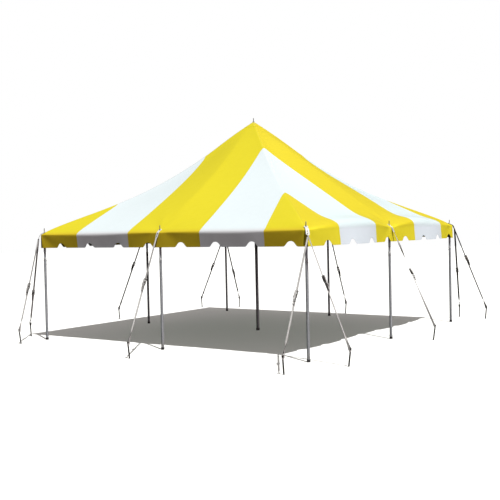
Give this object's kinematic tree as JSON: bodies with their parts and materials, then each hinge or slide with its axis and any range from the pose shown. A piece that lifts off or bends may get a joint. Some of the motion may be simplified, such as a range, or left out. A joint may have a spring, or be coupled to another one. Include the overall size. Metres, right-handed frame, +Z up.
{
  "type": "marquee tent",
  "caption": "Square marquee: a peaked striped canopy with a scalloped valance, on a centre pole and side poles, held by ratchet guys to stakes.",
  "frame": {"origin": "centre of the centre pole's foot, on the ground", "axes": "+Z up; the front is -Y and the right is +X; the sides of the square plan lie along X and Y"},
  "size_m": [8.2818, 8.3536, 4.447],
  "materials": {
    "canopy_vinyl": "smooth coated vinyl cloth in broad yellow and white panels",
    "galvanised_tube": "galvanised steel tube, dull silver grey",
    "guy_webbing": "woven white webbing with zinc plated ratchet and ring",
    "ratchet_steel": "zinc plated steel, slightly dulled",
    "stake_iron": "bare dark steel rod"
  },
  "bodies": {
    "root": {"front_roof": "canopy_vinyl", "right_roof": "canopy_vinyl", "back_roof": "canopy_vinyl", "left_roof": "canopy_vinyl", "front_valance": "canopy_vinyl", "right_valance": "canopy_vinyl", "back_valance": "canopy_vinyl", "left_valance": "canopy_vinyl", "crown_patch": "canopy_vinyl", "centre_pole_lower": "galvanised_tube", "centre_pole_upper": "galvanised_tube", "front_right_pole": "galvanised_tube", "right_pole": "galvanised_tube", "back_right_pole": "galvanised_tube", "back_pole": "galvanised_tube", "back_left_pole": "galvanised_tube", "left_pole": "galvanised_tube", "front_left_pole": "galvanised_tube", "front_pole": "galvanised_tube", "front_right_guy_1": "guy_webbing", "front_right_guy_2": "guy_webbing", "right_guy": "guy_webbing", "back_right_guy_1": "guy_webbing", "back_right_guy_2": "guy_webbing", "back_guy": "guy_webbing", "back_left_guy_1": "guy_webbing", "back_left_guy_2": "guy_webbing", "left_guy": "guy_webbing", "front_left_guy_1": "guy_webbing", "front_left_guy_2": "guy_webbing", "front_guy": "guy_webbing", "front_right_stake_1": "stake_iron", "front_right_stake_2": "stake_iron", "right_stake": "stake_iron", "back_right_stake_1": "stake_iron", "back_right_stake_2": "stake_iron", "back_stake": "stake_iron", "back_left_stake_1": "stake_iron", "back_left_stake_2": "stake_iron", "left_stake": "stake_iron", "front_left_stake_1": "stake_iron", "front_left_stake_2": "stake_iron", "front_stake": "stake_iron"}
  },
  "joints": []
}
